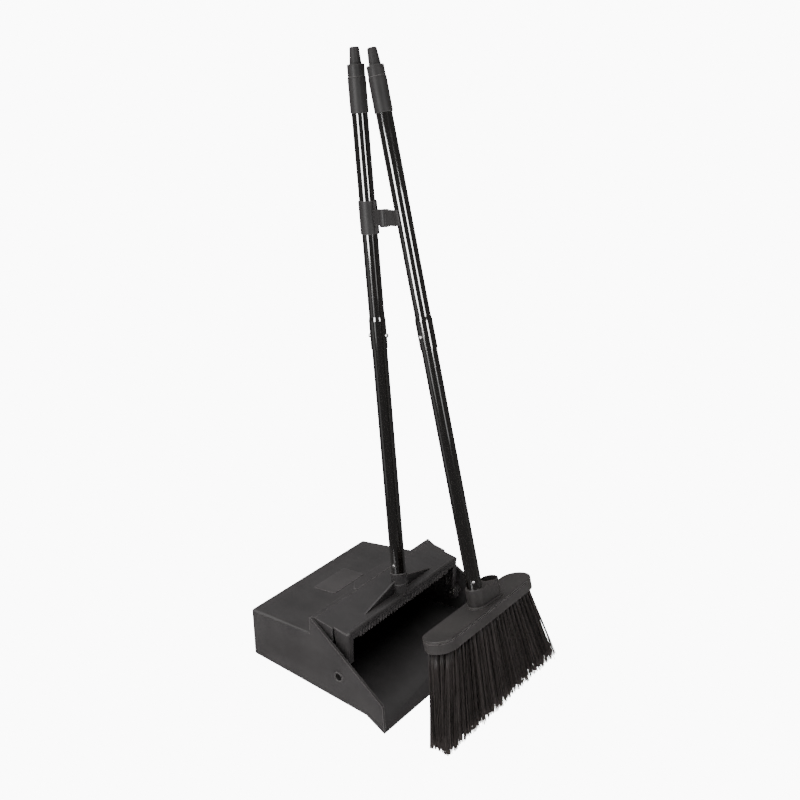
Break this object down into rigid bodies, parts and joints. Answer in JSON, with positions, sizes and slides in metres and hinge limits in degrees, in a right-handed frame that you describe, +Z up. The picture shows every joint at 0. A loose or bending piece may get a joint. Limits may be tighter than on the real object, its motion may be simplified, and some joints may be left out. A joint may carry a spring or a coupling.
{
  "type": "dust pan and broom set",
  "caption": "Upright dust pan with a hinged comb hood on a long tube handle, and a long-handled lobby broom held in the handle's clip.",
  "frame": {"origin": "On the floor, midway between the rear wall of the pan and the front of the bristles, in the pan's middle plane.", "axes": "+Z up, +X across the pan from its left wall to its right wall, -Y towards the mouth and the broom, +Y towards the rear wall."},
  "size_m": [0.3286, 0.3764, 0.9147],
  "materials": {
    "pan_plastic": "satin",
    "label_plastic": "satin",
    "block_plastic": "satin",
    "tube_paint": "gloss",
    "grip_plastic": "matte",
    "bright_steel": "polished",
    "dark_steel": "satin",
    "bristle": "satin",
    "roller_rubber": "matte",
    "tip_plastic": "satin",
    "bush_nylon": "satin"
  },
  "bodies": {
    "pan": {"pan_body": "pan_plastic", "label_plate": "label_plastic", "pivot_screw_left": "dark_steel", "pivot_screw_right": "dark_steel", "pivot_nut_left": "dark_steel", "pivot_nut_right": "dark_steel", "roller_axle_left": "bright_steel", "roller_axle_right": "bright_steel"},
    "yoke": {"yoke_hood": "pan_plastic", "pivot_bush_left": "bush_nylon", "pivot_bush_right": "bush_nylon", "pan_lower_tube": "tube_paint", "pan_upper_tube": "tube_paint", "pan_snap_spring": "bright_steel", "pan_socket_pin": "bright_steel", "pan_tube_rivet": "bright_steel", "pan_grip": "grip_plastic", "pan_hang_cap": "grip_plastic", "broom_clip": "grip_plastic"},
    "broom": {"broom_block": "block_plastic", "bristle_pack": "bristle", "broom_threaded_tip": "tip_plastic", "broom_lower_tube": "tube_paint", "broom_upper_tube": "tube_paint", "broom_snap_spring": "bright_steel", "broom_tip_rivet": "bright_steel", "broom_grip": "grip_plastic", "broom_hang_cap": "grip_plastic"},
    "roller_left": {"rear_roller_left": "roller_rubber"},
    "roller_right": {"rear_roller_right": "roller_rubber"},
    "pan_button_front": {"pan_button_front": "bright_steel"},
    "pan_button_rear": {"pan_button_rear": "bright_steel"},
    "broom_button_front": {"broom_button_front": "bright_steel"},
    "broom_button_rear": {"broom_button_rear": "bright_steel"}
  },
  "joints": [
    {"name": "hood_hinge", "type": "hinge", "parent": "pan", "child": "yoke", "pos_m": [0, 0.0028, 0.056], "axis": [1, 0, 0], "range_deg": [0, 100]},
    {"name": "broom_unclip", "type": "slide", "parent": "yoke", "child": "broom", "axis": [0, -1, 0], "range_m": [0, 0.2]},
    {"name": "roller_left_spin", "type": "hinge", "parent": "pan", "child": "roller_left", "pos_m": [-0.085, 0.15, 0.011], "axis": [1, 0, 0], "continuous": true},
    {"name": "roller_right_spin", "type": "hinge", "parent": "pan", "child": "roller_right", "pos_m": [0.085, 0.15, 0.011], "axis": [1, 0, 0], "continuous": true},
    {"name": "pan_button_front_press", "type": "slide", "parent": "yoke", "child": "pan_button_front", "axis": [-0.2756, 0.957, -0.0906], "range_m": [0, 0.003], "stiffness_N_per_m": 800, "springref_m": -0.003},
    {"name": "pan_button_rear_press", "type": "slide", "parent": "yoke", "child": "pan_button_rear", "axis": [0.2756, -0.957, 0.0906], "range_m": [0, 0.003], "stiffness_N_per_m": 800, "springref_m": -0.003},
    {"name": "broom_button_front_press", "type": "slide", "parent": "broom", "child": "broom_button_front", "axis": [0.9901, -0.1398, 0.0154], "range_m": [0, 0.003], "stiffness_N_per_m": 800, "springref_m": -0.003},
    {"name": "broom_button_rear_press", "type": "slide", "parent": "broom", "child": "broom_button_rear", "axis": [-0.9901, 0.1398, -0.0154], "range_m": [0, 0.003], "stiffness_N_per_m": 800, "springref_m": -0.003}
  ]
}
